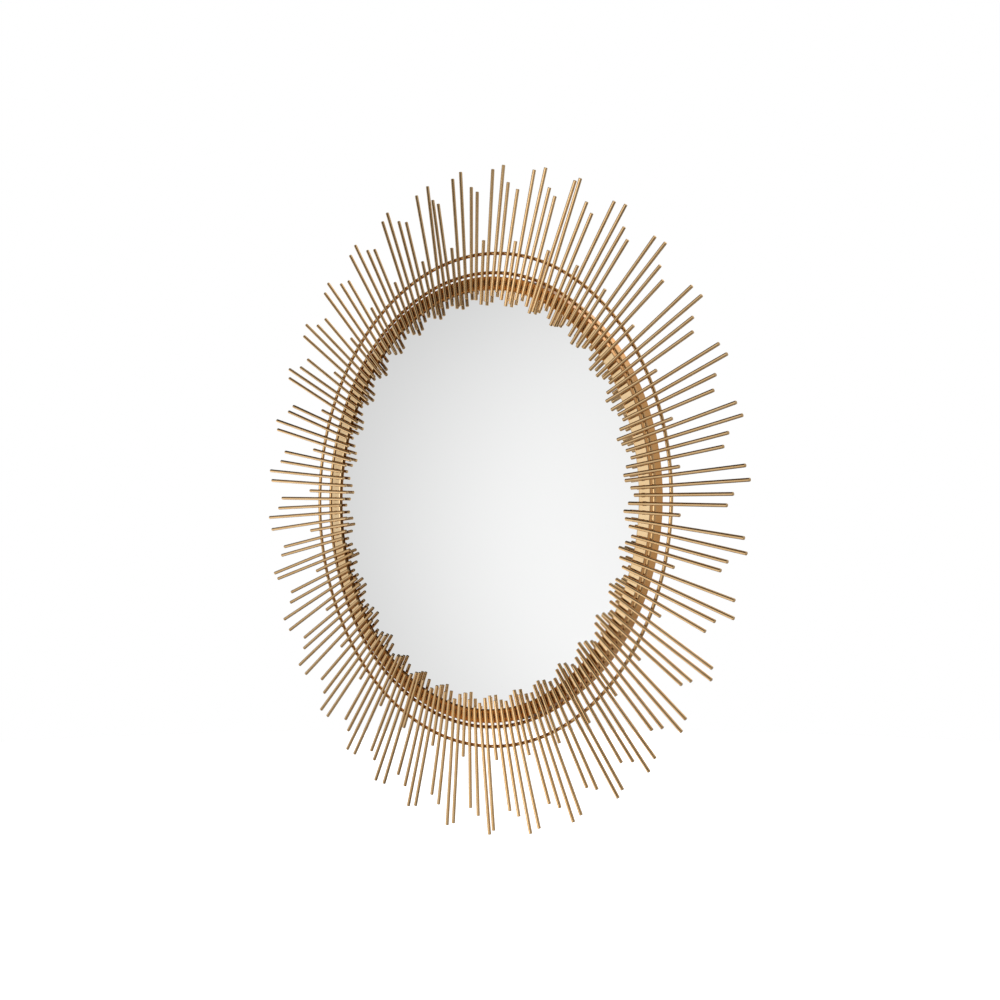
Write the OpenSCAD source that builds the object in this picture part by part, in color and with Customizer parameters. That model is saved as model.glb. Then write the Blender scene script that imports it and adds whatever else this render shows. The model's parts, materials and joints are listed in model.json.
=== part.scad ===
// Sunburst wall mirror: a round mirror in a steel rim, with groups of five straight rods
// welded across the rim's front and tied together by two wire rings.
// It hangs on a wall. The front faces -Y, +Z is up, and the origin is the centre of its box.
// Angles round the rim are clockwise from the top, as seen from the front.

/* [Overall] */
// Diameter across the tips of the longest rods
overall_d = 782; // [740:2:820]
// Depth from the rods' fronts to the wall
overall_depth = 33; // [31:0.5:38]

/* [Rods] */
// Number of rod groups round the rim
groups = 36; // [30:1:36]
// Rod diameter
rod_d = 4; // [3:0.5:4]
// Angle from one rod to the next in a group
rod_step = 2.04; // [1.9:0.02:2.06]
// Angle of the first rod, clockwise from the top
first_rod = 5; // [0:0.5:9]
// How far each rod's tip stops short of the overall radius, clockwise through a group
tip_short = [4.5, 0, 20.5, 28, 86.5]; // [0:0.5:90]
// Radius of each rod's inner end, clockwise through a group
foot_r = [232, 238, 243, 235, 229]; // [226:1:244]
// Chamfer on the rods' ends
rod_chamfer = 0.4; // [0.2:0.1:0.6]

/* [Hand-made scatter] */
// Seed of the small random shifts
scatter_seed = 11; // [1:1:99]
// Largest random tilt of a rod from the radial line, in degrees
tilt_scatter = 0.9; // [0:0.1:1.2]
// Largest random shift of a rod round the rim, in degrees
shift_scatter = 0.12; // [0:0.02:0.16]
// Largest random shift of a rod along its length
slide_scatter = 0.9; // [0:0.1:1]

/* [Wire rings] */
// Wire diameter of both rings
wire_d = 4; // [3:0.5:5]
// Radius of the outer wire ring, to the middle of the wire
outer_ring_r = 289; // [284:1:294]
// Radius of the inner wire ring, to the middle of the wire
inner_ring_r = 266.5; // [265.5:0.5:270]

/* [Rim] */
// Outer radius of the rim
rim_r = 262; // [261:0.5:262]
// Sheet thickness of the rim
rim_sheet = 1.2; // [1:0.1:1.5]
// Width of the front lip that the rods are welded to
lip_w = 16; // [13:0.5:17]
// Depth of the lip's inner edge, which the glass rests against
lip_return = 3; // [2.5:0.25:4]
// Outside radius of the bend between the lip's flat and its inner edge
lip_bend = 2.2; // [1.8:0.1:2.4]

/* [Glass and backing] */
// Thickness of the mirror glass
glass_t = 3; // [2:0.5:4]
// Gap between the glass's edge and the rim's wall
glass_gap = 2.8; // [2:0.2:4]
// Thickness of the foam sheet behind the glass
cushion_t = 2; // [1:0.5:3]
// Thickness of the fibreboard back
board_t = 6; // [5:0.5:8]
// Gap between the board's edge and the rim's wall
board_gap = 2.3; // [2:0.1:3]

/* [Retaining tabs] */
// Number of tabs that hold the board in the rim
tabs = 8; // [4:1:8]
// Width of a tab
tab_w = 14; // [12:1:16]
// Sheet thickness of a tab
tab_t = 1; // [0.8:0.1:1.2]
// Length of a tab's foot over the board
tab_foot = 17; // [16:1:22]

/* [Hangers] */
// Distance of each hanger's hinge line from the middle, sideways
hanger_x = 150; // [110:5:165]
// Height of each hanger's hinge line above the middle
hanger_z = 112; // [90:2:130]
// Wire diameter of the D-rings
d_wire = 2.5; // [2:0.25:2.5]
// Inner width of a D-ring
d_width = 20; // [18:1:24]
// Distance from the hinge line to the middle of the D-ring's crown
d_height = 16.25; // [15:0.25:20]
// Width of a hanger strap
strap_w = 14; // [12:1:15]
// Distance from the hinge line to the strap's second screw
strap_reach = 25; // [24:0.5:32]

/* [Wall bumpers] */
// Diameter of a bumper
bumper_d = 16; // [12:1:20]
// Height of a bumper, which is the gap between the board and the wall
bumper_h = 6.5; // [6:0.5:8]
// Distance of the bumpers from the middle, sideways
bumper_x = 120; // [80:5:150]
// Distance of the bumpers from the middle, up and down
bumper_z = 190; // [170:5:200]

/* [Hidden] */
$fn = 96;

// Depths, from the front (-Y) to the wall (+Y)
wall_y = overall_depth / 2;
front_y = -wall_y;
rod_y = front_y + rod_d / 2;
lip_y = front_y + rod_d;
ring_y = lip_y + wire_d / 2;
glass_y = lip_y + lip_return;
cushion_y = glass_y + glass_t;
filler_y = cushion_y + cushion_t;
back_y = wall_y - bumper_h;
board_y = back_y - board_t;

// Radii
cushion_inset = 3;
tip_r = overall_d / 2;
lip_r = rim_r - lip_w;
wall_r = rim_r - rim_sheet;
glass_r = wall_r - glass_gap;
board_r = wall_r - board_gap;
cushion_r = glass_r - cushion_inset;
weld_r = (rim_r + lip_r) / 2;

// Where the groups were set early or late by hand: [group, groups each way, degrees clockwise]
drifts = [[3, 2.4, -1.3], [6.4, 2.2, 1.1], [11, 4.4, 1.3], [18, 2.5, 0.5], [21.6, 2.6, -1],
          [25, 2.5, -0.4], [29.2, 2.5, 0.5]];
// Where the groups lean together, in the same form
group_leans = [[4.6, 2.4, 2.2], [8.5, 2, 0.8], [11.6, 1.6, 1.8], [16, 3.4, -1.8], [20, 2.6, -1.6],
               [23.5, 1.5, -1], [28.8, 3.4, -2]];
// Single rods that lean more than the rest: [group, rod, degrees clockwise]
leans = [[2, 1, -3], [4, 0, -1.5], [4, 3, 1.5], [5, 4, 2.5], [6, 3, 2], [9, 1, 1.5], [14, 0, -2],
         [14, 1, -4], [17, 1, -2.5], [18, 1, -2], [20, 3, -1.5], [24, 0, -2.5], [25, 1, -2.5],
         [27, 1, -1], [27, 3, -1], [29, 0, 2.5], [29, 1, 1], [34, 1, 3], [34, 3, -2]];

rods = len(foot_r);
pitch = 360 / groups;
rod_count = groups * rods;
tilt_draws = rands(-tilt_scatter, tilt_scatter, rod_count, scatter_seed);
shift_draws = rands(-shift_scatter, shift_scatter, rod_count, scatter_seed + 1);
slide_draws = rands(-slide_scatter, slide_scatter, 2 * rod_count, scatter_seed + 2);

// Screws
screw_r = 1.45;
pilot_r = 1.5;
screw_clear_r = 1.8;
head_r = 3.2;
head_h = 2;
screw_bite = 5;
screw_point_r = 0.6;
screw_taper = 1.5;
head_side = head_h / 2;
head_top_r = 0.6 * head_r;
pilot_spare = 0.5;
drive_w = 0.9;
drive_l = 3.6;
drive_depth = 1.1;

// Retaining tabs: a leg inside the rim and a foot over the board
tab_r = sqrt(wall_r * wall_r - tab_w * tab_w / 4) - 0.05;
tab_leg = 12;
tab_bend = 1.6;
tab_hole_r = tab_r - tab_foot + 6;

// Hanger: the strap is one strip folded over the D-ring's straight leg
strap_sheet = 1;
strap_t = 2 * strap_sheet;
hinge_r = d_wire / 2 + 0.1;
barrel_r = hinge_r + strap_sheet;
hinge_y = back_y + barrel_r;
strap_screw_near = 7;
d_corner = 3;
d_half = (d_width + d_wire) / 2;
d_lean = asin((barrel_r - d_wire / 2 - 0.05) / d_height);

// Bumper: a moulded dome with an adhesive back
bumper_taper = 1.5;
bumper_chamfer = 0.8;
pad_t = 0.8;
pad_rim = 0.4;

function ray_name(g) = str("ray_group_", g < 9 ? "0" : "", g + 1);
function bumper_name(i) =
    str("wall_bumper_", i < 2 ? "upper_" : "lower_", i % 2 == 0 ? "left" : "right");

// Smooth hump from 1 in the middle to 0 at width w on each side
function hump(d, w) = abs(d) < w ? (1 + cos(180 * d / w)) / 2 : 0;
function total(v, i = 0) = i < len(v) ? v[i] + total(v, i + 1) : 0;
function humps(list, g) = total([for (h = list) h[2] * hump(g - h[0], h[1])]);
function lean(g, i) = total([for (l = leans) l[0] == g && l[1] == i ? l[2] : 0]);
function rod_angle(g, i) = first_rod + g * pitch + i * rod_step + humps(drifts, g)
    + shift_draws[g * rods + i];
function rod_tilt(g, i) = humps(group_leans, g) + lean(g, i) + tilt_draws[g * rods + i];

// Turns children, drawn on +Z, to an angle clockwise from the top
module at_angle(a) {
    rotate([0, a, 0]) children();
}

// Turns children, drawn with +Z as their axis, to point at the wall
module facing_wall(y = 0) {
    translate([0, y, 0]) rotate([-90, 0, 0]) children();
}

module disc(r, t, y) {
    facing_wall(y) cylinder(r = r, h = t, $fn = 180);
}

// One straight rod along +Z from radius r0 to r1, with chamfered ends
module rod(r0, r1) {
    c = rod_chamfer;
    r = rod_d / 2;
    rotate_extrude($fn = 32)
        polygon([[0, r0], [r - c, r0], [r, r0 + c], [r, r1 - c], [r - c, r1], [0, r1]]);
}

module ray_group(g) {
    color("#c79a5b")
        for (i = [0 : rods - 1]) {
            k = 2 * (g * rods + i);
            at_angle(rod_angle(g, i)) translate([0, rod_y, weld_r]) rotate([0, rod_tilt(g, i), 0])
                rod(foot_r[i] - weld_r + slide_draws[k],
                    tip_r - tip_short[i] - weld_r + min(0, slide_draws[k + 1]));
        }
}

module wire_ring(r) {
    color("#b98a4c")
        facing_wall(ring_y) rotate_extrude($fn = 180) translate([r, 0]) circle(d = wire_d, $fn = 32);
}

module outer_wire_ring() {
    wire_ring(outer_ring_r);
}

module inner_wire_ring() {
    wire_ring(inner_ring_r);
}

// Flat ring that the rods lie on, with its inner edge turned back to the glass
// Points on the lip's bend, from its inner edge to its flat
function bend_arc(r, turns) =
    [for (a = turns) [lip_r + lip_bend - r * cos(a), lip_bend - r * sin(a)]];

module front_lip() {
    section = concat(
        bend_arc(lip_bend, [0:15:90]),
        [[rim_r, 0], [rim_r, rim_sheet]],
        bend_arc(lip_bend - rim_sheet, [90:-15:0]),
        [[lip_r + rim_sheet, lip_return], [lip_r, lip_return]]
    );
    color("#c9a468")
        facing_wall(lip_y) rotate_extrude($fn = 180) polygon(section);
}

module rim_hoop() {
    y0 = lip_y + rim_sheet;
    color("#b5824a")
        facing_wall(y0) difference() {
            cylinder(r = rim_r, h = back_y - y0, $fn = 180);
            translate([0, 0, -1]) cylinder(r = wall_r, h = back_y - y0 + 2, $fn = 180);
        }
}

module mirror_glass() {
    color("#e4e6e8") disc(glass_r, glass_t, glass_y);
}

module glass_cushion() {
    color("#f2f2f0") disc(cushion_r, cushion_t, cushion_y);
}

module filler_pad() {
    color("#e8e6df") disc(cushion_r, board_y - filler_y, filler_y);
}

module at_tabs() {
    for (i = [0 : tabs - 1]) at_angle((i + 0.5) * 360 / tabs) children();
}

// Centres of a hanger's screws and hinge: side is -1 for the left, seen from the front
module at_hanger(side) {
    translate([side * hanger_x, 0, hanger_z]) children();
}

module at_strap_screws() {
    for (z = [strap_screw_near, strap_reach]) translate([0, 0, -z]) children();
}

module pilot_hole() {
    depth = screw_bite + pilot_spare;
    facing_wall(back_y - depth) cylinder(r = pilot_r, h = depth + pilot_spare, $fn = 32);
}

module backing_board() {
    color("#8d6b49") difference() {
        disc(board_r, board_t, board_y);
        at_tabs() translate([0, 0, tab_hole_r]) pilot_hole();
        for (side = [-1, 1]) at_hanger(side) at_strap_screws() pilot_hole();
    }
}

// L-shaped section, drawn with the leg's outer face at x = 0 and the board's rear face at y = 0
module tab_section() {
    inner = tab_bend - tab_t;
    translate([-tab_t, -tab_leg]) square([tab_t, tab_leg - tab_bend + tab_t]);
    translate([-tab_foot, 0]) square([tab_foot - tab_bend, tab_t]);
    intersection() {
        translate([-tab_bend, tab_t - tab_bend]) difference() {
            circle(r = tab_bend);
            circle(r = inner);
        }
        translate([-tab_bend, tab_t - tab_bend]) square(tab_bend);
    }
}

module retaining_tabs() {
    color("#b8b9ba") at_tabs() difference() {
        translate([tab_w / 2, back_y, tab_r]) rotate([0, -90, 0]) linear_extrude(tab_w) tab_section();
        translate([0, 0, tab_hole_r]) facing_wall(back_y - 1) cylinder(r = screw_clear_r, h = 4, $fn = 32);
    }
}

// Pan-head screw with a cross recess, its head's underside at height y
module screw(y) {
    facing_wall(y) difference() {
        rotate_extrude($fn = 32)
            polygon([[0, -screw_bite], [screw_point_r, -screw_bite], [screw_r, screw_taper - screw_bite],
                     [screw_r, 0], [head_r, 0], [head_r, head_side], [head_top_r, head_h], [0, head_h]]);
        for (a = [0, 90]) rotate(a)
            translate([-drive_l / 2, -drive_w / 2, head_h - drive_depth]) cube([drive_l, drive_w, head_h]);
    }
}

module tab_screws() {
    color("#c8c9ca") at_tabs() translate([0, 0, tab_hole_r]) screw(back_y + tab_t);
}

module hanger_screws() {
    color("#c8c9ca")
        for (side = [-1, 1]) at_hanger(side) at_strap_screws() screw(back_y + strap_t);
}

module hanger_strap(side) {
    color("#cfd0d2") at_hanger(side) difference() {
        union() {
            translate([-strap_w / 2, hinge_y, 0]) rotate([0, 90, 0]) cylinder(r = barrel_r, h = strap_w);
            translate([-strap_w / 2, back_y, -strap_reach]) cube([strap_w, strap_t, strap_reach]);
            translate([0, 0, -strap_reach]) facing_wall(back_y) cylinder(d = strap_w, h = strap_t);
        }
        translate([-strap_w, hinge_y, 0]) rotate([0, 90, 0])
            cylinder(r = hinge_r, h = 2 * strap_w, $fn = 32);
        at_strap_screws() facing_wall(back_y - 1) cylinder(r = screw_clear_r, h = strap_t + 2, $fn = 32);
    }
}

module hanger_strap_left() {
    hanger_strap(-1);
}

module hanger_strap_right() {
    hanger_strap(1);
}

module wire_bar(length) {
    cylinder(d = d_wire, h = length, $fn = 32);
}

// Bend of the D-ring's wire, from +X round towards +Z, in the XZ plane
module wire_bend(r, turn) {
    rotate([90, 0, 0]) rotate_extrude(angle = turn) translate([r, 0]) circle(d = d_wire, $fn = 32);
}

// Closed D of wire in the XZ plane: a straight leg on the hinge line and a round crown above it
module d_ring(side) {
    flat = d_half - d_corner;
    crown_z = d_height - d_half;
    color("#cfd0d2") at_hanger(side) translate([0, hinge_y, 0]) rotate([d_lean, 0, 0]) {
        translate([-flat, 0, 0]) rotate([0, 90, 0]) wire_bar(2 * flat);
        for (s = [0, 1]) mirror([s, 0, 0]) {
            translate([flat, 0, d_corner]) rotate([0, 90, 0]) wire_bend(d_corner, 90);
            translate([d_half, 0, d_corner]) wire_bar(crown_z - d_corner);
        }
        translate([0, 0, crown_z]) wire_bend(d_half, 180);
    }
}

module d_ring_left() {
    d_ring(-1);
}

module d_ring_right() {
    d_ring(1);
}

module wall_bumper(i) {
    side = i % 2 == 0 ? -1 : 1;
    up = i < 2 ? 1 : -1;
    r = bumper_d / 2;
    color("#3a3a3a") translate([side * bumper_x, 0, up * bumper_z]) facing_wall(back_y)
        rotate_extrude($fn = 64)
            polygon([[0, 0], [r, 0], [r, pad_t], [r - pad_rim, pad_t],
                     [r - bumper_taper, bumper_h - bumper_chamfer],
                     [r - bumper_taper - bumper_chamfer, bumper_h], [0, bumper_h]]);
}

for (g = [0 : groups - 1]) ray_group(g);
outer_wire_ring();
inner_wire_ring();
front_lip();
rim_hoop();
mirror_glass();
glass_cushion();
filler_pad();
backing_board();
retaining_tabs();
tab_screws();
hanger_strap_left();
hanger_strap_right();
d_ring_left();
d_ring_right();
hanger_screws();
for (i = [0 : 3]) wall_bumper(i);
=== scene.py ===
"""The looks of a sunburst wall mirror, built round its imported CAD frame.

The mirror faces -Y, +Z is up and the wall is at +Y. Lengths are in metres.
Angles round the rim are clockwise from the top, as seen from the front.
"""

import json
import math
import random

import bmesh
import bpy
import numpy as np
from mathutils import Matrix, Vector


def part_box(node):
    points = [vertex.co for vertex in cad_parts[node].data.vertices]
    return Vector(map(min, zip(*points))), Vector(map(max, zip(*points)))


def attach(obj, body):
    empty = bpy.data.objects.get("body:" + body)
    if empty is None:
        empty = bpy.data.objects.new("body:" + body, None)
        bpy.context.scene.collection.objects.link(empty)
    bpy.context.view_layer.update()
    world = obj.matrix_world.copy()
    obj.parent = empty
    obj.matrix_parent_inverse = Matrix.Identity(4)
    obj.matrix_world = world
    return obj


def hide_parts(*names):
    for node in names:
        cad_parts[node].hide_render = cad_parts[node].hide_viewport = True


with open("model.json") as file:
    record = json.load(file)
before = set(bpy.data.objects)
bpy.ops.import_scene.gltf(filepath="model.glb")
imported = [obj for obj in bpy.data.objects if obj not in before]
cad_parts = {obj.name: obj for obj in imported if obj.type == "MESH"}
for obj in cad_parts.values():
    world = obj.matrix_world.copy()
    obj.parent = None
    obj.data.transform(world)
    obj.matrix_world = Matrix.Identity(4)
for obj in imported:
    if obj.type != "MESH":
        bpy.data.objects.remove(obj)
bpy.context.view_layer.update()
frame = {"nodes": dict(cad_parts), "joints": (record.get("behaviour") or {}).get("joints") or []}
dice = random.Random(7)
MM = 0.001
# A smaller radius counts as a point on the axis
ON_AXIS = 1e-6

# Sheet metal and edges
SHEET = 1.2 * MM
LIP_WIDTH = 16 * MM
LIP_BEND = 2.2 * MM
EDGE = 0.3 * MM
FINE_EDGE = 0.15 * MM
ROD_EDGE = 0.55 * MM
SHARP_ANGLE = 38
BEVEL_ANGLE = 40

# Segments round each kind of turned piece
RIM_SEGMENTS = 256
PAD_SEGMENTS = 192
BUMPER_SEGMENTS = 48
SCREW_SEGMENTS = 32
ROD_SIDES = 24
BEAD_SIDES = 10
RING_STEPS = 360

# Weld beads, dark and wider than the rods, so they also paint the rods' shadows on the rings and lip: half
# sizes round the rim, in depth and along the rod, each between two limits
RING_BEAD = ((2.3 * MM, 2.9 * MM), (0.9 * MM, 1.3 * MM), (1.3 * MM, 1.9 * MM))
LIP_BEAD = ((2.3 * MM, 2.7 * MM), (5 * MM, 6.5 * MM))
LIP_BEAD_DEPTH = 0.6 * MM
LIP_BEAD_DRIFT = 1 * MM

# Glass
GLASS_EDGE = 0.8 * MM
GLASS_BORDER = 2 * MM
FLAT_FACE = 0.99

# Hangers and fastenings
D_WIRE = 2.5 * MM
D_HALF_WIDTH = 11.25 * MM
D_HEIGHT = 16.25 * MM
D_CORNER = 3 * MM
D_REST_GAP = 0.05 * MM
BARREL_RADIUS = 2.35 * MM
STRAP_SHEET = 1 * MM
STRAP_WIDTH = 14 * MM
STRAP_SCREWS = (7 * MM, 25 * MM)
# Distances from a strap's round end at which its width is set
STRAP_END_STEPS = (0, 0.2 * MM, 0.8 * MM, 1.8 * MM, 3.2 * MM, 5 * MM, STRAP_WIDTH / 2)
STRAP_END_HALF_WIDTH = 0.8 * MM
# Where the upper leaf comes down on the lower one: heights above it and distances below the hinge
STRAP_CLOSING = ((0.7 * MM, 3 * MM), (0.15 * MM, 3.9 * MM), (0, 5 * MM))
TABS = 8
TAB_SHEET = 1 * MM
TAB_WIDTH = 14 * MM
TAB_FOOT = 17 * MM
TAB_LEG = 12 * MM
TAB_BEND = 1.6 * MM
TAB_HOLE_INSET = 11 * MM
TAB_FIT = 0.05 * MM
# A tab's rounded end: distances from the end, and how much narrower each side is there
TAB_CORNERS = ((3 * MM, 0), (1.4 * MM, 0.4 * MM), (0.5 * MM, 1.3 * MM), (0, 2.6 * MM))
SCREW_SHANK = 1.45 * MM
SCREW_HEAD = 3.2 * MM
SCREW_HEAD_SIDE = 0.7 * MM
SCREW_HEAD_HEIGHT = 2 * MM
SCREW_BITE = 5 * MM
SCREW_TIP = 0.5 * MM
SCREW_TIP_RISE = 0.2 * MM
SCREW_TAPER = 1.6 * MM
RECESS_DEPTH = 1.1 * MM
RECESS_CLEAR = 1 * MM
RECESS_HALF_WIDTH = (0.45 * MM, 0.55 * MM)
RECESS_STRETCH = 3.6
PAD_DEPTH = 0.8 * MM
BUMPER_EDGE = 1.1 * MM


# ---------------------------------------------------------------- meshes

def rounded(corners, radius, steps=3):
    """A closed section's corners, each replaced by a short arc. A corner on the axis stays sharp."""
    out = []
    for i, corner in enumerate(corners):
        here = Vector(corner)
        if here.x < ON_AXIS:
            out.append(tuple(here))
            continue
        back = Vector(corners[i - 1]) - here
        ahead = Vector(corners[(i + 1) % len(corners)]) - here
        reach = min(radius, back.length * 0.45, ahead.length * 0.45)
        start = here + back.normalized() * reach
        end = here + ahead.normalized() * reach
        for k in range(steps + 1):
            t = k / steps
            out.append(tuple(start * (1 - t) ** 2 + here * (2 * t * (1 - t)) + end * t * t))
    return out


def lathe(profile, segments, closed=False):
    """Vertices and faces of a profile of (radius, y) points turned round the Y axis."""
    verts, faces, rings = [], [], []
    for radius, y in profile:
        turns = segments if radius > ON_AXIS else 1
        rings.append(range(len(verts), len(verts) + turns))
        for i in range(turns):
            angle = math.tau * i / segments
            verts.append((radius * math.sin(angle), y, radius * math.cos(angle)))
    for a, b in zip(rings, rings[1:] + (rings[:1] if closed else [])):
        for i in range(segments):
            j = (i + 1) % segments
            quad = [a[i % len(a)], a[j % len(a)], b[j % len(b)], b[i % len(b)]]
            face = list(dict.fromkeys(quad))
            if len(face) > 2:
                faces.append(face)
    return verts, faces


def moved(part, matrix):
    """The same vertices and faces, moved by a matrix."""
    verts, faces = part
    return [tuple(matrix @ Vector(v)) for v in verts], faces


def joined(parts):
    """Several sets of vertices and faces as one."""
    verts, faces = [], []
    for part_verts, part_faces in parts:
        start = len(verts)
        verts += part_verts
        faces += [[start + i for i in face] for face in part_faces]
    return verts, faces


def tube(path, radius, sides=20):
    """A closed wire of round section along a closed path that lies in one plane."""
    points = [Vector(p) for p in path]
    count = len(points)
    normal = (points[count // 3] - points[0]).cross(points[2 * count // 3] - points[0]).normalized()
    verts, faces = [], []
    for i, point in enumerate(points):
        along = (points[(i + 1) % count] - points[i - 1]).normalized()
        out = along.cross(normal)
        for k in range(sides):
            angle = math.tau * k / sides
            verts.append(tuple(point + (out * math.cos(angle) + normal * math.sin(angle)) * radius))
    for i in range(count):
        for k in range(sides):
            a, b = i * sides, (i + 1) % count * sides
            n = (k + 1) % sides
            faces.append([a + k, a + n, b + n, b + k])
    return verts, faces


def strip(path, thickness, half_widths):
    """A bent strip of sheet: path is its middle line in (y, z), and its width runs along X."""
    points = [Vector(p) for p in path]
    verts, faces = [], []
    for i, point in enumerate(points):
        along = points[min(i + 1, len(points) - 1)] - points[max(i - 1, 0)]
        across = Vector((-along.y, along.x)).normalized() * thickness / 2
        for side, face in ((-1, -1), (1, -1), (1, 1), (-1, 1)):
            y, z = point + across * face
            verts.append((side * half_widths[i], y, z))
    for i in range(len(points) - 1):
        for k in range(4):
            n = (k + 1) % 4
            faces.append([4 * i + k, 4 * i + n, 4 * i + 4 + n, 4 * i + 4 + k])
    last = 4 * (len(points) - 1)
    faces += [[3, 2, 1, 0], [last, last + 1, last + 2, last + 3]]
    return verts, faces


def outward_mesh(name, part):
    """A mesh of vertices and faces, with every face turned outward."""
    verts, faces = part
    mesh = bpy.data.meshes.new(name)
    mesh.from_pydata(verts, [], faces)
    bm = bmesh.new()
    bm.from_mesh(mesh)
    bmesh.ops.recalc_face_normals(bm, faces=bm.faces)
    bm.to_mesh(mesh)
    bm.free()
    return mesh


def in_scene(name, mesh):
    """A new object in the scene."""
    obj = bpy.data.objects.new(name, mesh)
    bpy.context.scene.collection.objects.link(obj)
    return obj


def piece(name, part, materials, body="mirror", replaces=(), smooth=SHARP_ANGLE, bevel=0):
    """Makes an object from vertices and faces, and ties it to its body, slot and CAD nodes."""
    mesh = outward_mesh(name, part)
    mesh.shade_smooth()
    mesh.set_sharp_from_angle(angle=math.radians(smooth))
    for material in materials:
        mesh.materials.append(material)
    obj = in_scene(name, mesh)
    if bevel:
        edge = obj.modifiers.new("edge", "BEVEL")
        edge.width = bevel
        edge.segments = 2
        edge.limit_method = "ANGLE"
        edge.angle_limit = math.radians(BEVEL_ANGLE)
    normals = obj.modifiers.new("normals", "WEIGHTED_NORMAL")
    normals.keep_sharp = True
    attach(obj, body)
    if replaces:
        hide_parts(*replaces)
    return obj


def grain(obj, places):
    """Stores each point's place along and across the metal's brushing, for the materials to read."""
    attribute = obj.data.attributes.new("grain", "FLOAT_VECTOR", "POINT")
    attribute.data.foreach_set("vector", np.array(places, np.float32).ravel())
    return obj


def round_grain(obj):
    """The brushing of a turned or bent ring runs round the mirror's axis."""
    places = []
    for vertex in obj.data.vertices:
        x, y, z = vertex.co
        radius = math.hypot(x, z)
        places.append((math.atan2(x, z) * radius, y, radius))
    return grain(obj, places)


def turn_to(clock):
    """Turns what is drawn at the top to an angle clockwise from the top."""
    return Matrix.Rotation(clock, 4, "Y")


# ---------------------------------------------------------------- materials

class Shader:
    """A procedural material on one Principled shader."""

    def __init__(self, name, **values):
        self.material = bpy.data.materials.new(name)
        self.material.use_nodes = True
        self.tree = self.material.node_tree
        self.bsdf = self.tree.nodes["Principled BSDF"]
        for key, value in values.items():
            self.bsdf.inputs[key.replace("_", " ").title()].default_value = value

    def node(self, kind, settings=(), **inputs):
        made = self.tree.nodes.new("ShaderNode" + kind)
        for key, value in dict(settings).items():
            setattr(made, key, value)
        for key, value in inputs.items():
            self.set(made.inputs[key.replace("_", " ")], value)
        return made

    def set(self, socket, value):
        if isinstance(value, bpy.types.NodeSocket):
            self.tree.links.new(value, socket)
        else:
            socket.default_value = value

    def attribute(self, name):
        return self.node("Attribute", {"attribute_name": name}).outputs["Vector"]

    def place(self):
        return self.node("TexCoord").outputs["Object"]

    def stretched(self, vector, scale):
        scaled = self.node("VectorMath", {"operation": "MULTIPLY"})
        self.set(scaled.inputs[0], vector)
        scaled.inputs[1].default_value = scale
        return scaled.outputs[0]

    def noise(self, vector, scale=1.0, detail=3.0, roughness=0.5):
        made = self.node("TexNoise", Vector=vector, Scale=scale, Detail=detail, Roughness=roughness)
        return made.outputs["Fac"]

    def remap(self, value, low, high, to_low=0.0, to_high=1.0):
        made = self.node("MapRange", Value=value, From_Min=low, From_Max=high, To_Min=to_low, To_Max=to_high)
        return made.outputs["Result"]

    def maths(self, operation, a, b):
        made = self.node("Math", {"operation": operation})
        self.set(made.inputs[0], a)
        self.set(made.inputs[1], b)
        return made.outputs[0]

    def mix(self, share, a, b):
        made = self.node("Mix", {"data_type": "RGBA"})
        self.set(made.inputs["Factor"], share)
        for socket, value in ((made.inputs[6], a), (made.inputs[7], b)):
            self.set(socket, value if isinstance(value, bpy.types.NodeSocket) else (*value, 1))
        return made.outputs[2]

    def colour(self, value):
        self.set(self.bsdf.inputs["Base Color"], value)

    def roughness(self, value):
        self.set(self.bsdf.inputs["Roughness"], value)

    def bump(self, height, strength, distance):
        made = self.node("Bump", Strength=strength, Distance=distance, Height=height)
        self.tree.links.new(made.outputs["Normal"], self.bsdf.inputs["Normal"])


# Scale of the gold's brushing along and across the grain
BRUSHING = (60, 2600, 2600)
# Colour of the painted shade in the lip's return and how far it takes to darken, and the antique wash's share
# of the dark tone
PAINTED_RETURN_SHADE = (0.22, 0.10, 0.03)
RETURN_SHADE_FADE = 0.5 * MM
WASH_TONE = 0.35


def gold(name, light, dark, rough, worn, recess=None):
    """Champagne-gold plating: lengthwise brushing, cloudy tone and a darker antique wash in patches.

    Beyond the depth in recess the colour turns to a painted shade, for the shadow in the lip's bent-back
    return.
    """
    s = Shader(name, metallic=1.0)
    lines = s.attribute("grain")
    brushing = s.noise(s.stretched(lines, BRUSHING), detail=2)
    clouds = s.noise(s.place(), scale=38, detail=4, roughness=0.6)
    wash = s.noise(s.place(), scale=260, detail=5, roughness=0.65)
    tone = s.maths("ADD", s.remap(clouds, 0.35, 0.65, 0, 0.5), s.remap(brushing, 0.3, 0.7, 0, 0.35))
    antique = tuple(WASH_TONE * c for c in dark)
    colour = s.mix(s.remap(wash, 0.58, 0.74, 0, worn), s.mix(tone, dark, light), antique)
    if recess:
        # Painted shade: darker past the given depth, for the shadow in the lip's return
        depth = s.node("SeparateXYZ", Vector=lines).outputs["Y"]
        colour = s.mix(s.remap(depth, recess, recess + RETURN_SHADE_FADE), colour, PAINTED_RETURN_SHADE)
    s.colour(colour)
    wear = s.maths("ADD", brushing, s.maths("MULTIPLY", wash, 0.5))
    s.roughness(s.remap(wear, 0.5, 1.0, rough - 0.05, rough + 0.07))
    s.bump(s.maths("ADD", brushing, s.maths("MULTIPLY", wash, 0.2)), 0.2, 0.05 * MM)
    return s.material


def weld_metal_and_shade():
    s = Shader("weld_metal_and_shade", metallic=0.9)
    lumps = s.noise(s.place(), scale=900, detail=4, roughness=0.6)
    # Painted shade: dark weld metal, darkened further to stand for the rods' shadows where they cross the
    # rings and lip
    s.colour(s.mix(lumps, (0.06, 0.032, 0.014), (0.26, 0.15, 0.07)))
    s.roughness(s.remap(lumps, 0.3, 0.7, 0.42, 0.62))
    s.bump(lumps, 0.5, 0.25 * MM)
    return s.material


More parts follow.
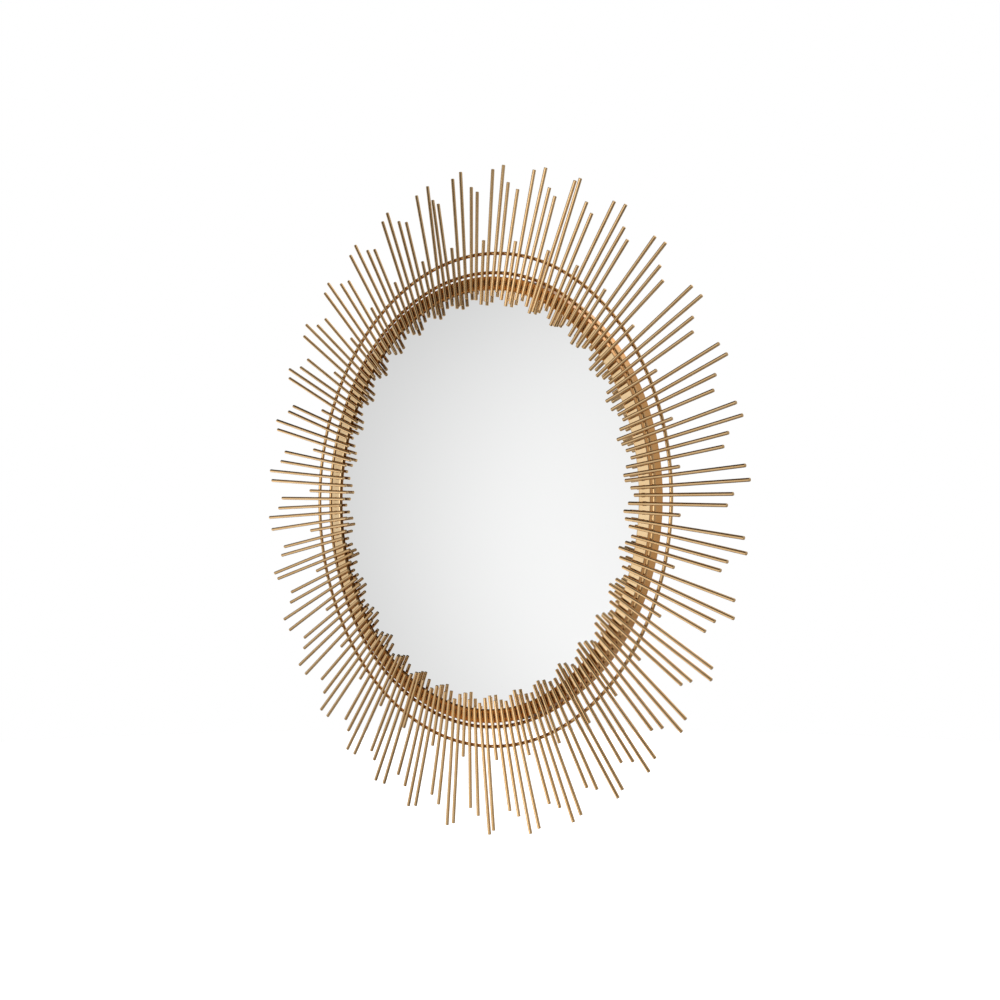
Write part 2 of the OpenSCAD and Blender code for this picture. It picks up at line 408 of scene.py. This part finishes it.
def silvered_glass():
    s = Shader("silvered_glass", metallic=1.0)
    haze = s.noise(s.place(), scale=7, detail=4, roughness=0.7)
    s.colour(s.mix(haze, (0.925, 0.93, 0.928), (0.94, 0.942, 0.94)))
    s.roughness(s.remap(haze, 0.3, 0.7, 0.012, 0.03))
    return s.material


def glass_edge():
    s = Shader("glass_edge", roughness=0.2, coat_weight=0.5)
    depth = s.noise(s.place(), scale=140, detail=3)
    s.colour(s.mix(depth, (0.10, 0.26, 0.20), (0.24, 0.42, 0.34)))
    return s.material


def mirror_paint():
    s = Shader("mirror_back_paint", roughness=0.55)
    spray = s.noise(s.place(), scale=1200, detail=3)
    s.colour(s.mix(spray, (0.16, 0.19, 0.21), (0.23, 0.26, 0.28)))
    s.bump(spray, 0.3, 0.05 * MM)
    return s.material


def foam():
    s = Shader("foam_cells", roughness=0.9)
    cells = s.node("TexVoronoi", Vector=s.place(), Scale=650.0).outputs["Distance"]
    s.colour(s.mix(s.remap(cells, 0, 0.8), (0.93, 0.93, 0.91), (0.80, 0.80, 0.77)))
    s.bump(cells, 0.6, 0.3 * MM)
    return s.material


def bead_filler():
    s = Shader("polystyrene_beads", roughness=0.8)
    beads = s.node("TexVoronoi", Vector=s.place(), Scale=280.0).outputs["Distance"]
    s.colour(s.mix(s.remap(beads, 0.2, 0.9), (0.92, 0.92, 0.91), (0.72, 0.72, 0.70)))
    s.bump(s.maths("SUBTRACT", 1.0, beads), 0.6, 0.5 * MM)
    return s.material


def fibreboard():
    s = Shader("fibreboard", roughness=0.82)
    place = s.place()
    fibres = s.noise(s.stretched(place, (900, 300, 240)), detail=5, roughness=0.7)
    chips = s.noise(s.stretched(place, (150, 300, 620)), detail=4, roughness=0.65)
    cloud = s.noise(place, scale=9, detail=3)
    base = s.mix(s.remap(cloud, 0.3, 0.7), (0.33, 0.215, 0.13), (0.42, 0.29, 0.185))
    share = s.remap(s.maths("MULTIPLY", fibres, chips), 0.12, 0.4)
    s.colour(s.mix(share, (0.20, 0.125, 0.07), base))
    s.bump(s.maths("ADD", fibres, chips), 0.35, 0.15 * MM)
    return s.material


def zinc(name, rough):
    s = Shader(name, metallic=1.0)
    place = s.place()
    spangle = s.node("TexVoronoi", Vector=place, Scale=420.0).outputs["Color"]
    value = s.node("SeparateColor", Color=spangle).outputs[0]
    stain = s.noise(place, scale=300, detail=4)
    s.colour(s.mix(s.maths("MULTIPLY", value, stain), (0.52, 0.54, 0.57), (0.80, 0.81, 0.82)))
    s.roughness(s.remap(stain, 0.3, 0.7, rough - 0.06, rough + 0.1))
    s.bump(stain, 0.15, 0.05 * MM)
    return s.material


def rubber():
    s = Shader("black_rubber")
    skin = s.noise(s.place(), scale=1500, detail=3)
    dust = s.noise(s.place(), scale=180, detail=4)
    s.colour(s.mix(s.remap(dust, 0.45, 0.8), (0.018, 0.018, 0.018), (0.075, 0.073, 0.07)))
    s.roughness(s.remap(dust, 0.3, 0.7, 0.5, 0.72))
    s.bump(skin, 0.4, 0.08 * MM)
    return s.material


# Depth behind the lip's front at which the painted shade of its return begins
RETURN_SHADE_DEPTH = 0.4 * MM

GOLD_RODS = gold("gold_rods", (0.89, 0.62, 0.34), (0.75, 0.47, 0.21), 0.15, 0.3)
GOLD_WIRE = gold("gold_wire", (0.87, 0.58, 0.29), (0.71, 0.43, 0.18), 0.17, 0.4)
GOLD_LIP = gold("gold_lip", (0.96, 0.73, 0.44), (0.88, 0.60, 0.31), 0.15, 0.3,
                recess=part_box("front_lip")[0].y + RETURN_SHADE_DEPTH)
GOLD_HOOP = gold("gold_hoop", (0.91, 0.49, 0.19), (0.80, 0.40, 0.13), 0.20, 0.3)
WELD_AND_SHADE = weld_metal_and_shade()
ZINC = zinc("zinc_sheet", 0.34)
SCREW_ZINC = zinc("zinc_screw", 0.28)


# ---------------------------------------------------------------- the gold work

def rod_ends(node):
    """The two ends of each rod's axis, inner end first, read from the CAD node's separate solids."""
    bm = bmesh.new()
    bm.from_mesh(frame["nodes"][node].data)
    bmesh.ops.remove_doubles(bm, verts=bm.verts, dist=0.001 * MM)
    left = set(bm.verts)
    ends = []
    while left:
        island, front = set(), [left.pop()]
        while front:
            vertex = front.pop()
            island.add(vertex)
            near = {e.other_vert(vertex) for e in vertex.link_edges} & left
            left -= near
            front += near
        points = np.array([v.co for v in island])
        centre = points.mean(0)
        axis = np.linalg.svd(points - centre)[2][0]
        reach = (points - centre) @ axis
        pair = [Vector(centre + axis * t) for t in (reach.min(), reach.max())]
        ends.append(sorted(pair, key=lambda p: p.length))
    bm.free()
    return sorted(ends, key=lambda pair: math.atan2(pair[1].x, pair[1].z) % math.tau)


def rod_group(number, node, rods):
    """The rods of one group, with softly rounded cut ends."""
    low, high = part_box(node)
    radius = (high.y - low.y) / 2
    parts, places = [], []
    for foot, tip in rods:
        length = (tip - foot).length
        section = [(0, 0), (radius, 0), (radius, length), (0, length)]
        part = lathe(rounded(section, ROD_EDGE), ROD_SIDES)
        turn = (tip - foot).to_track_quat("Y", "Z").to_matrix().to_4x4()
        shift = dice.uniform(0, 50)
        places += [(v[1] + shift, v[0], v[2] + shift) for v in part[0]]
        parts.append(moved(part, Matrix.Translation(foot) @ turn))
    obj = piece(f"rods_{number:02d}", joined(parts), [GOLD_RODS], replaces=[node])
    return grain(obj, places)


def wire_ring(name, node):
    """A welded ring of round wire. Gives the radius of the wire's middle line."""
    low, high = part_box(node)
    radius = (high.y - low.y) / 2
    middle = high.x - radius
    y = (low.y + high.y) / 2
    turns = [math.tau * i / RING_STEPS for i in range(RING_STEPS)]
    path = [(middle * math.sin(a), y, middle * math.cos(a)) for a in turns]
    round_grain(piece(name, tube(path, radius), [GOLD_WIRE], replaces=[node]))
    return middle


def front_lip():
    """The rim's flat front, bent back along its inner edge."""
    low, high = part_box("front_lip")
    outer, inner = high.x, high.x - LIP_WIDTH

    def bend(radius, turns):
        return [(inner + LIP_BEND - radius * math.cos(a), low.y + LIP_BEND - radius * math.sin(a))
                for a in turns]

    turns = [math.radians(10 * i) for i in range(10)]
    section = [*bend(LIP_BEND, turns), (outer, low.y), (outer, low.y + SHEET),
               *bend(LIP_BEND - SHEET, turns[::-1]), (inner + SHEET, high.y), (inner, high.y)]
    part = lathe(rounded(section, EDGE, steps=1), RIM_SEGMENTS, closed=True)
    round_grain(piece("rim_lip", part, [GOLD_LIP], replaces=["front_lip"]))


def rim_hoop():
    """The rim's side, a plain hoop of sheet."""
    low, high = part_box("rim_hoop")
    outer, inner = high.x, high.x - SHEET
    section = [(inner, low.y), (outer, low.y), (outer, high.y), (inner, high.y)]
    part = lathe(rounded(section, EDGE), RIM_SEGMENTS, closed=True)
    round_grain(piece("rim_side_hoop", part, [GOLD_HOOP], replaces=["rim_hoop"]))


def bead(place, size, clock):
    """A small lump of weld: size is its half length round the rim, half depth and half height."""
    steps = 7
    profile = [(math.sin(math.pi * i / steps), -math.cos(math.pi * i / steps)) for i in range(steps + 1)]
    profile[0] = (0, -1)
    profile[-1] = (0, 1)
    scale = Matrix.Diagonal((size[0], size[1], size[2], 1))
    return moved(lathe(profile, BEAD_SIDES), Matrix.Translation(place) @ turn_to(clock) @ scale)


def at_radius(foot, tip, radius):
    """Where a rod's axis crosses a circle round the mirror's axis."""
    along = tip - foot
    a = along.x ** 2 + along.z ** 2
    b = 2 * (foot.x * along.x + foot.z * along.z)
    c = foot.x ** 2 + foot.z ** 2 - radius ** 2
    return foot + along * (-b + math.sqrt(b * b - 4 * a * c)) / (2 * a)


def welds(rods, ring_radii):
    """Weld beads where each rod crosses the two wire rings and the lip, also painting the rods' shadows
    there.
    """
    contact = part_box("front_lip")[0].y
    lip_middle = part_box("front_lip")[1].x - LIP_WIDTH / 2
    on_rings, on_lip = [], []
    for foot, tip in rods:
        for radius in ring_radii:
            place = at_radius(foot, tip, radius)
            size = [dice.uniform(*limits) for limits in RING_BEAD]
            on_rings.append(bead((place.x, contact, place.z), size, math.atan2(place.x, place.z)))
        place = at_radius(foot, tip, lip_middle + dice.uniform(-LIP_BEAD_DRIFT, LIP_BEAD_DRIFT))
        width, length = (dice.uniform(*limits) for limits in LIP_BEAD)
        size = [width, LIP_BEAD_DEPTH, length]
        on_lip.append(bead((place.x, contact, place.z), size, math.atan2(place.x, place.z)))
    piece("ring_welds_and_shade", joined(on_rings), [WELD_AND_SHADE])
    piece("lip_welds_and_shade", joined(on_lip), [WELD_AND_SHADE])


# ---------------------------------------------------------------- glass and backing

def mirror_disc():
    """The glass: silvered in front, with a green ground edge and a painted back."""
    low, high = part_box("mirror_glass")
    section = [(0, low.y), (high.x, low.y), (high.x, high.y), (0, high.y)]
    profile = rounded(section, GLASS_EDGE, steps=2)
    for y, at in ((low.y, 1), (high.y, len(profile))):
        profile.insert(at, (high.x - GLASS_BORDER, y))
    finishes = [silvered_glass(), glass_edge(), mirror_paint()]
    obj = piece("mirror_disc", lathe(profile, RIM_SEGMENTS), finishes, replaces=["mirror_glass"],
                smooth=20)
    for face in obj.data.polygons:
        if abs(face.normal.y) < FLAT_FACE:
            face.material_index = 1
        elif face.normal.y > 0:
            face.material_index = 2


def flat_disc(name, node, material, edge):
    """A round sheet with softly rounded edges."""
    low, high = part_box(node)
    section = [(0, low.y), (high.x, low.y), (high.x, high.y), (0, high.y)]
    return piece(name, lathe(rounded(section, edge), PAD_SEGMENTS), [material], replaces=[node])


# ---------------------------------------------------------------- fastenings and hangers

def screw_mesh():
    """A pan-head screw with a cross recess, its axis on Y and its head's underside at zero."""
    section = [(0, -SCREW_BITE), (SCREW_TIP, -SCREW_BITE + SCREW_TIP_RISE),
               (SCREW_SHANK, -SCREW_BITE + SCREW_TAPER), (SCREW_SHANK, 0), (SCREW_HEAD, 0),
               (SCREW_HEAD, SCREW_HEAD_SIDE)]
    steps = 8
    dome = SCREW_HEAD_HEIGHT - SCREW_HEAD_SIDE
    section += [(SCREW_HEAD * math.cos(a), SCREW_HEAD_SIDE + dome * math.sin(a))
                for a in (math.pi / 2 * i / steps for i in range(1, steps))]
    section.append((0, SCREW_HEAD_HEIGHT))
    solid = in_scene("screw_solid", outward_mesh("screw_solid", lathe(section, SCREW_SEGMENTS)))
    floor, top = SCREW_HEAD_HEIGHT - RECESS_DEPTH, SCREW_HEAD_HEIGHT + RECESS_CLEAR
    arm = [(0, floor), (RECESS_HALF_WIDTH[0], floor), (RECESS_HALF_WIDTH[1], top), (0, top)]
    blade = moved(lathe(arm, 4), Matrix.Diagonal((RECESS_STRETCH, 1, 1, 1)) @ turn_to(math.pi / 4))
    cutters = []
    for i in range(2):
        name = f"blade_{i}"
        cutters.append(in_scene(name, outward_mesh(name, moved(blade, turn_to(i * math.pi / 2)))))
    for cutter in cutters:
        cut = solid.modifiers.new("recess", "BOOLEAN")
        cut.object = cutter
        cut.operation = "DIFFERENCE"
    bpy.context.view_layer.update()
    made = bpy.data.meshes.new_from_object(solid.evaluated_get(bpy.context.evaluated_depsgraph_get()))
    part = ([tuple(v.co) for v in made.vertices], [list(f.vertices) for f in made.polygons])
    for obj in [solid, *cutters]:
        bpy.data.objects.remove(obj)
    return part


def tab_part(wall_radius, back):
    """One bent retaining tab, drawn at the top: a leg inside the hoop and a foot over the board."""
    middle = TAB_SHEET / 2
    leg = math.sqrt(wall_radius ** 2 - TAB_WIDTH ** 2 / 4) - TAB_FIT
    turn = TAB_BEND - middle
    centre_y, centre_z = back + TAB_SHEET - TAB_BEND, leg - TAB_BEND
    path = [(back - TAB_LEG, leg - middle)]
    steps = 6
    path += [(centre_y + turn * math.sin(a), centre_z + turn * math.cos(a))
             for a in (math.pi / 2 * i / steps for i in range(steps + 1))]
    end = leg - TAB_FOOT
    half = TAB_WIDTH / 2
    widths = [half] * len(path)
    for inset, narrowing in TAB_CORNERS:
        path.append((back + middle, end + inset))
        widths.append(half - narrowing)
    return strip(path, TAB_SHEET, widths), leg - TAB_HOLE_INSET


def retaining_tabs(screw):
    """The tabs that hold the board, and their screws."""
    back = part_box("backing_board")[1].y
    wall_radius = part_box("rim_hoop")[1].x - SHEET
    tab, hole = tab_part(wall_radius, back)
    clocks = [math.tau * (i + 0.5) / TABS for i in range(TABS)]
    piece("tabs", joined(moved(tab, turn_to(c)) for c in clocks), [ZINC], replaces=["retaining_tabs"],
          bevel=FINE_EDGE)
    seat = Matrix.Translation((0, back + TAB_SHEET, hole))
    parts = [moved(screw, turn_to(c) @ seat @ turn_to(dice.uniform(0, math.pi))) for c in clocks]
    piece("tab_fixings", joined(parts), [SCREW_ZINC], replaces=["tab_screws"])


def strap_part(back):
    """A folded strap with its hinge line at the origin of X and Z."""
    middle = BARREL_RADIUS - STRAP_SHEET / 2
    hinge = back + BARREL_RADIUS
    foot = STRAP_SCREWS[1] + STRAP_WIDTH / 2
    round_end = [foot - step for step in STRAP_END_STEPS]
    under = [(back + STRAP_SHEET / 2, -z) for z in round_end]
    turn = [(hinge - middle * math.cos(a), middle * math.sin(a))
            for a in (math.radians(12 * i) for i in range(19))]
    over_y = back + 1.5 * STRAP_SHEET
    over = [(over_y + lift, -drop) for lift, drop in STRAP_CLOSING]
    over += [(over_y, -z) for z in reversed(round_end)]
    path = under + turn + over

    def half_width(z):
        below = -z - STRAP_SCREWS[1]
        return math.sqrt(max((STRAP_WIDTH / 2) ** 2 - max(below, 0) ** 2, STRAP_END_HALF_WIDTH ** 2))

    return strip(path, STRAP_SHEET, [half_width(z) for _, z in path])


def d_ring_path(hinge):
    """The middle line of a D-ring's wire: a straight leg on the hinge, leaning back to the board."""
    lean = math.asin((BARREL_RADIUS - D_WIRE / 2 - D_REST_GAP) / D_HEIGHT)
    crown = D_HEIGHT - D_HALF_WIDTH
    flat = D_HALF_WIDTH - D_CORNER
    half = [(flat * t, 0) for t in (0, 0.5)]
    half += [(flat + D_CORNER * math.sin(a), D_CORNER * (1 - math.cos(a)))
             for a in (math.pi / 2 * i / 8 for i in range(9))]
    half += [(D_HALF_WIDTH * math.cos(a), crown + D_HALF_WIDTH * math.sin(a))
             for a in (math.pi / 2 * i / 16 for i in range(17))]
    flat_path = half + [(-x, z) for x, z in reversed(half[1:-1])]
    tilt = Matrix.Rotation(lean, 4, "X")
    return [tuple(Vector(hinge) + tilt @ Vector((x, 0, z))) for x, z in flat_path]


def hangers(screw):
    """The two straps, their D-rings and their screws, placed by the CAD's joints."""
    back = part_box("backing_board")[1].y
    strap = strap_part(back)
    heads = []
    for joint in frame["joints"]:
        side = joint["child"].split("_")[0]
        x, _, z = joint["pos_m"]
        move = Matrix.Translation((x, 0, z))
        piece(f"strap_{side}", moved(strap, move), [ZINC], replaces=[f"hanger_strap_{side}"],
              bevel=FINE_EDGE)
        wire = tube(d_ring_path(joint["pos_m"]), D_WIRE / 2)
        piece(f"d_wire_{side}", wire, [SCREW_ZINC], body=joint["child"], replaces=[f"d_ring_{side}"],
              smooth=60)
        for drop in STRAP_SCREWS:
            seat = Matrix.Translation((x, back + 2 * STRAP_SHEET, z - drop))
            heads.append(moved(screw, seat @ turn_to(dice.uniform(0, math.pi))))
    piece("strap_fixings", joined(heads), [SCREW_ZINC], replaces=["hanger_screws"])


def wall_bumper(node, material):
    """A moulded rubber foot on a thin adhesive pad."""
    low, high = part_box(node)
    radius, height = (high.x - low.x) / 2, high.y - low.y
    section = [(0, 0), (radius, 0), (radius, PAD_DEPTH)]
    section += [(radius - inset, y) for inset, y in
                ((0.5 * MM, PAD_DEPTH), (0.9 * MM, height * 0.45), (2.2 * MM, height))]
    section.append((0, height))
    centre = (low + high) / 2
    part = moved(lathe(rounded(section, BUMPER_EDGE), BUMPER_SEGMENTS),
                 Matrix.Translation((centre.x, low.y, centre.z)))
    piece(node.replace("wall_bumper", "bumper"), part, [material], replaces=[node])


# ---------------------------------------------------------------- studio

# The photograph's view: turn from -Y towards +X and height in degrees, the point on the rods' plane that it
# looks at, its distance from there, and the lens for a sensor of this width in millimetres
CAMERA_TURN = 44.0
CAMERA_HEIGHT = -0.83
CAMERA_AIM = (0.0434, -0.0010)
CAMERA_DISTANCE = 1.7582
CAMERA_LENS = 54.66
SENSOR_WIDTH = 36

FLOOR_RADIUS = 9
FLOOR_DROP = 1.5
FLOOR_SEGMENTS = 64
WHITE = (1, 1, 1, 1)


def direction_of(turn, height):
    """The unit vector at a turn from -Y towards +X and a height, both in degrees."""
    turn, height = math.radians(turn), math.radians(height)
    return Vector((math.sin(turn) * math.cos(height), -math.cos(turn) * math.cos(height), math.sin(height)))


def camera():
    """The camera at the photograph's viewing angle."""
    low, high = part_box("ray_group_01")
    aim = Vector((CAMERA_AIM[0], (low.y + high.y) / 2, CAMERA_AIM[1]))
    back = direction_of(CAMERA_TURN, CAMERA_HEIGHT)
    data = bpy.data.cameras.new("camera")
    data.sensor_width = SENSOR_WIDTH
    data.lens = CAMERA_LENS
    made = in_scene("camera", data)
    made.rotation_mode = "QUATERNION"
    made.rotation_quaternion = (-back).to_track_quat("-Z", "Y")
    made.location = aim + back * CAMERA_DISTANCE
    bpy.context.scene.camera = made


def pale_floor():
    """A plain pale floor, far enough below for a mirror that hangs at eye height."""
    verts, faces = lathe([(0, 0), (FLOOR_RADIUS, 0)], FLOOR_SEGMENTS)
    mesh = bpy.data.meshes.new("floor")
    mesh.from_pydata(verts, [], faces)
    floor = in_scene("floor", mesh)
    floor.location.z = -FLOOR_DROP
    floor.rotation_euler.x = math.pi / 2
    s = Shader("pale_floor", roughness=0.9, emission_strength=1.0)
    speckle = s.noise(s.place(), scale=3, detail=2)
    s.colour(s.mix(speckle, (0.9, 0.9, 0.9), (0.93, 0.93, 0.93)))
    s.bsdf.inputs["Emission Color"].default_value = WHITE
    mesh.materials.append(s.material)
    floor.visible_glossy = False
    floor.visible_diffuse = False
    floor.visible_shadow = False


# Soft panels round the studio: the middle's turn from -Y towards +X and its height, in degrees, then half the
# angle it spans across and up, and its strength
PANELS = {
    "key": ((-5, 0), (25, 10), 1.8),
    "beside key": ((-35, 0), (20, 20), 0.4),
    "left": ((-60, -15), (60, 60), 0.6),
    "low left": ((-85, -25), (35, 25), 0.9),
    "right": ((20, -10), (60, 30), 0.7),
    "rear right": ((120, 35), (90, 90), 0.5),
    "high behind": ((-165, 40), (30, 40), 0.9),
    "low behind": ((170, -40), (55, 55), 0.3),
    "above": ((0, 90), (40, 40), 0.6),
    "below": ((0, -90), (50, 50), 0.3),
}
# Share of a panel's reach at which its light starts to fade towards its edge
FULL_SHARE = 0.3
# Light of the dim room between the panels
AMBIENT = 0.01


def panel(tree, direction, middle, reach, strength):
    """The light of one soft panel in each direction, as a node socket."""
    half_width = math.radians(reach[0])
    squash = Vector((1, 1, reach[0] / reach[1]))
    axis = direction_of(*middle)

    def chain(kind, operation, source, second=None):
        made = tree.nodes.new(kind)
        made.operation = operation
        tree.links.new(source, made.inputs[0])
        if second is not None:
            made.inputs[1].default_value = second
        return made.outputs["Value" if operation in ("DOT_PRODUCT", "ARCCOSINE") else 0]

    way = chain("ShaderNodeVectorMath", "MULTIPLY", direction, squash)
    way = chain("ShaderNodeVectorMath", "NORMALIZE", way)
    facing = chain("ShaderNodeVectorMath", "DOT_PRODUCT", way, (axis * squash).normalized())
    apart = chain("ShaderNodeMath", "ARCCOSINE", facing)
    edge = tree.nodes.new("ShaderNodeMapRange")
    edge.interpolation_type = "SMOOTHSTEP"
    tree.links.new(apart, edge.inputs["Value"])
    edge.inputs["From Min"].default_value = half_width * FULL_SHARE
    edge.inputs["From Max"].default_value = half_width
    edge.inputs["To Min"].default_value = strength
    edge.inputs["To Max"].default_value = 0
    return edge.outputs["Result"]


def studio_world():
    """White behind the mirror for the camera, and soft panels in a dim room for all else."""
    world = bpy.data.worlds.new("studio")
    world.use_nodes = True
    bpy.context.scene.world = world
    tree = world.node_tree
    nodes, links = tree.nodes, tree.links
    nodes.clear()
    direction = nodes.new("ShaderNodeTexCoord").outputs["Generated"]
    total = None
    for settings in PANELS.values():
        light = panel(tree, direction, *settings)
        add = nodes.new("ShaderNodeMath")
        add.operation = "ADD"
        links.new(light, add.inputs[0])
        if total is None:
            add.inputs[1].default_value = AMBIENT
        else:
            links.new(total, add.inputs[1])
        total = add.outputs[0]
    soft = nodes.new("ShaderNodeBackground")
    links.new(total, soft.inputs["Strength"])
    soft.inputs["Color"].default_value = WHITE
    white = nodes.new("ShaderNodeBackground")
    white.inputs["Color"].default_value = WHITE
    seen = nodes.new("ShaderNodeLightPath").outputs["Is Camera Ray"]
    both = nodes.new("ShaderNodeMixShader")
    links.new(seen, both.inputs[0])
    links.new(soft.outputs[0], both.inputs[1])
    links.new(white.outputs[0], both.inputs[2])
    links.new(both.outputs[0], nodes.new("ShaderNodeOutputWorld").inputs["Surface"])
    bpy.context.scene.view_settings.view_transform = "Standard"


camera()
pale_floor()
studio_world()

ray_nodes = sorted(n for n in frame["nodes"] if n.startswith("ray_group_"))
all_rods = []
for number, ray_node in enumerate(ray_nodes, 1):
    group_rods = rod_ends(ray_node)
    rod_group(number, ray_node, group_rods)
    all_rods += group_rods
wire_radii = [wire_ring("outer_wire", "outer_wire_ring"), wire_ring("inner_wire", "inner_wire_ring")]
front_lip()
rim_hoop()
welds(all_rods, wire_radii)

mirror_disc()
flat_disc("foam_sheet", "glass_cushion", foam(), 0.6 * MM)
flat_disc("filler_block", "filler_pad", bead_filler(), 0.8 * MM)
flat_disc("back_board", "backing_board", fibreboard(), 0.5 * MM)

screw_part = screw_mesh()
retaining_tabs(screw_part)
hangers(screw_part)
bumper_rubber = rubber()
for bumper_node in sorted(n for n in frame["nodes"] if n.startswith("wall_bumper_")):
    wall_bumper(bumper_node, bumper_rubber)
